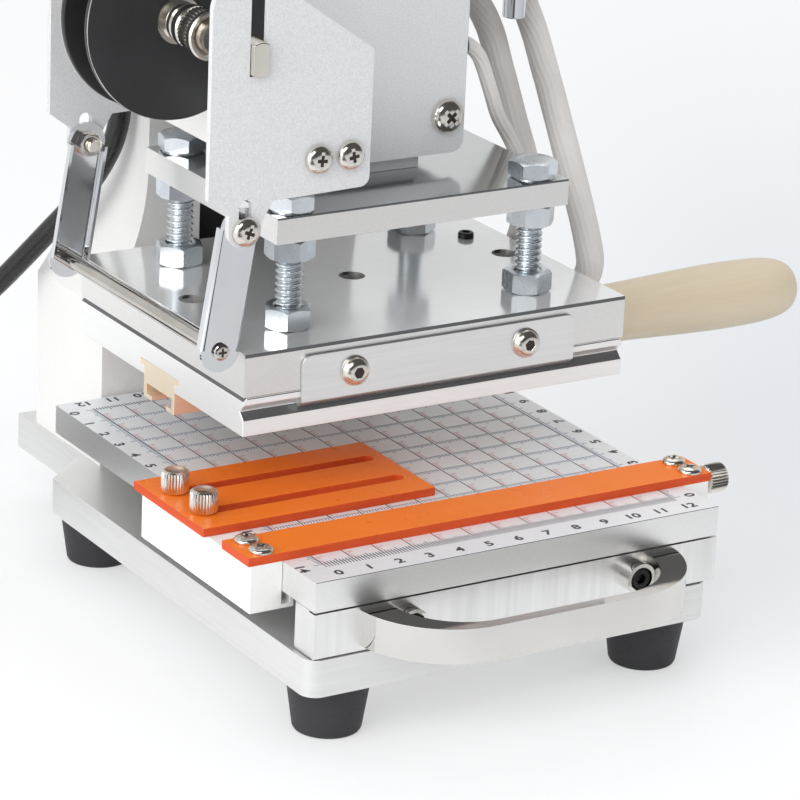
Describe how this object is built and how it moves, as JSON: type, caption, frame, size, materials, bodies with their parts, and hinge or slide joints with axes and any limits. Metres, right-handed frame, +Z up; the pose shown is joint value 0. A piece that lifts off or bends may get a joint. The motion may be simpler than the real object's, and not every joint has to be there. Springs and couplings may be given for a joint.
{
  "type": "hot foil stamping machine",
  "caption": "Bench-top hot foil stamping press with lever-driven heated block, pull-out die plate, brass type holder, foil reel and a sliding ruled table with adjustable fence.",
  "frame": {"origin": "centre of the four rubber feet on the bench", "axes": "+Z up, square to the table top; -Y towards the user, the way the table pulls out; +X to the user's right, along the wooden handle"},
  "size_m": [0.3579, 0.3077, 0.391],
  "materials": {
    "milled_aluminium": "milled, satin",
    "polished_aluminium": "polished",
    "printed_aluminium": "satin with a printed ruler grid",
    "white_paint": "satin white",
    "grey_paint": "light grey powder coat",
    "black_paint": "satin black",
    "steel": "ground",
    "zinc_steel": "zinc plated",
    "black_steel": "black oxide",
    "chrome": "polished chrome",
    "brass": "pale satin brass",
    "nickel": "nickel plated",
    "black_rubber": "matte",
    "orange_plastic": "glossy orange",
    "black_plastic": "satin black",
    "grey_plastic": "matte grey",
    "red_plastic": "glossy red",
    "wood": "turned, waxed",
    "sleeving": "braided",
    "cord_rubber": "glossy sheath"
  },
  "bodies": {
    "frame": {"base_plate": "milled_aluminium", "rubber_feet": "black_rubber", "frame_screws": "black_steel", "column": "white_paint", "column_front_plate": "black_paint", "slide_rail": "steel", "head_sides": "white_paint", "ram_guides": "steel", "front_panel": "grey_paint", "pan_screws": "nickel", "head_cover": "grey_paint", "controller": "black_plastic", "switch_frame": "black_plastic", "shaft_bushes": "brass", "return_spring": "steel", "tie_bar": "white_paint", "foil_brackets": "grey_paint", "reel_shaft": "nickel", "heater_leads": "sleeving", "grommets": "black_rubber", "power_cord": "cord_rubber", "cord_coil": "cord_rubber", "cord_tie": "black_plastic", "cord_plug": "black_plastic"},
    "table": {"slide_carriage": "steel", "table_screws": "black_steel", "table_plate": "printed_aluminium", "table_apron": "milled_aluminium", "table_handle": "chrome"},
    "fence": {"fence_rail": "milled_aluminium", "fence_strip": "orange_plastic", "fence_block": "milled_aluminium", "strip_screws": "nickel"},
    "fence_knob": {"fence_knob": "chrome"},
    "side_stop": {"stop_plate": "orange_plastic"},
    "thumbscrew_rear": {"thumbscrew_rear": "nickel"},
    "thumbscrew_front": {"thumbscrew_front": "nickel"},
    "press_head": {"ram": "steel", "upper_plate": "milled_aluminium", "press_bolts": "zinc_steel", "press_nuts": "zinc_steel", "heating_block": "polished_aluminium", "heater_cartridges": "steel", "heater_set_screws": "black_steel", "clips": "milled_aluminium", "press_screws": "black_steel"},
    "lever": {"pinion_shaft": "steel", "lever_hub": "chrome", "lever_rod": "chrome", "lever_ball": "black_plastic"},
    "die": {"die_plate": "milled_aluminium", "wooden_handle": "wood"},
    "type_holder": {"type_holder": "brass"},
    "reel": {"reel_discs": "black_plastic", "reel_hub": "chrome"},
    "guide_arms": {"guide_arms": "chrome"},
    "guide_roller": {"guide_roller": "chrome"},
    "key_down": {"key_down": "grey_plastic"},
    "key_up": {"key_up": "grey_plastic"},
    "switch_rocker": {"switch_rocker": "red_plastic"}
  },
  "joints": [
    {"name": "table_slide", "type": "slide", "parent": "frame", "child": "table", "axis": [0, -1, 0], "range_m": [0, 0.09]},
    {"name": "fence_slide", "type": "slide", "parent": "table", "child": "fence", "axis": [0, 1, 0], "range_m": [-0.007, 0.06]},
    {"name": "fence_knob_turn", "type": "hinge", "parent": "fence", "child": "fence_knob", "pos_m": [0.08, -0.05925, 0.0492], "axis": [1, 0, 0], "range_deg": [0, 360]},
    {"name": "stop_slide", "type": "slide", "parent": "fence", "child": "side_stop", "axis": [1, 0, 0], "range_m": [-0.065, 0]},
    {"name": "thumbscrew_rear_turn", "type": "hinge", "parent": "fence", "child": "thumbscrew_rear", "pos_m": [-0.0742, -0.0125, 0.0546], "axis": [0, 0, 1], "range_deg": [0, 360]},
    {"name": "thumbscrew_front_turn", "type": "hinge", "parent": "fence", "child": "thumbscrew_front", "pos_m": [-0.0742, -0.03, 0.0546], "axis": [0, 0, 1], "range_deg": [0, 360]},
    {"name": "lever_swing", "type": "hinge", "parent": "frame", "child": "lever", "pos_m": [0, 0.02885, 0.194], "axis": [1, 0, 0], "range_deg": [0, 90], "stiffness_Nm_per_rad": 0.16, "springref_deg": -114.59, "deforming": ["return_spring"]},
    {"name": "ram_slide", "type": "slide", "parent": "frame", "child": "press_head", "axis": [0, 0, -1], "range_m": [0, 0.01257], "deforming": ["heater_leads"]},
    {"name": "die_slide", "type": "slide", "parent": "press_head", "child": "die", "axis": [1, 0, 0], "range_m": [0, 0.08]},
    {"name": "type_slide", "type": "slide", "parent": "die", "child": "type_holder", "axis": [-1, 0, 0], "range_m": [0, 0.08]},
    {"name": "reel_spin", "type": "hinge", "parent": "frame", "child": "reel", "pos_m": [-0.0641, 0.018, 0.1896], "axis": [0, 1, 0], "continuous": true},
    {"name": "arm_swing", "type": "hinge", "parent": "frame", "child": "guide_arms", "pos_m": [-0.0668, 0, 0.14], "axis": [0, 1, 0], "range_deg": [0, 30]},
    {"name": "roller_spin", "type": "hinge", "parent": "guide_arms", "child": "guide_roller", "pos_m": [-0.07243, 0, 0.10444], "axis": [0, 1, 0], "continuous": true},
    {"name": "key_down_press", "type": "slide", "parent": "frame", "child": "key_down", "axis": [0, 1, 0], "range_m": [0, 0.0006], "stiffness_N_per_m": 500},
    {"name": "key_up_press", "type": "slide", "parent": "frame", "child": "key_up", "axis": [0, 1, 0], "range_m": [0, 0.0006], "stiffness_N_per_m": 500},
    {"name": "switch_tilt", "type": "hinge", "parent": "frame", "child": "switch_rocker", "pos_m": [0.05, 0.106, 0.232], "axis": [0, 1, 0], "range_deg": [-16, 0]}
  ],
  "couplings": [
    {"joint": "ram_slide", "follows": "lever_swing", "m_per_rad": 0.008}
  ]
}
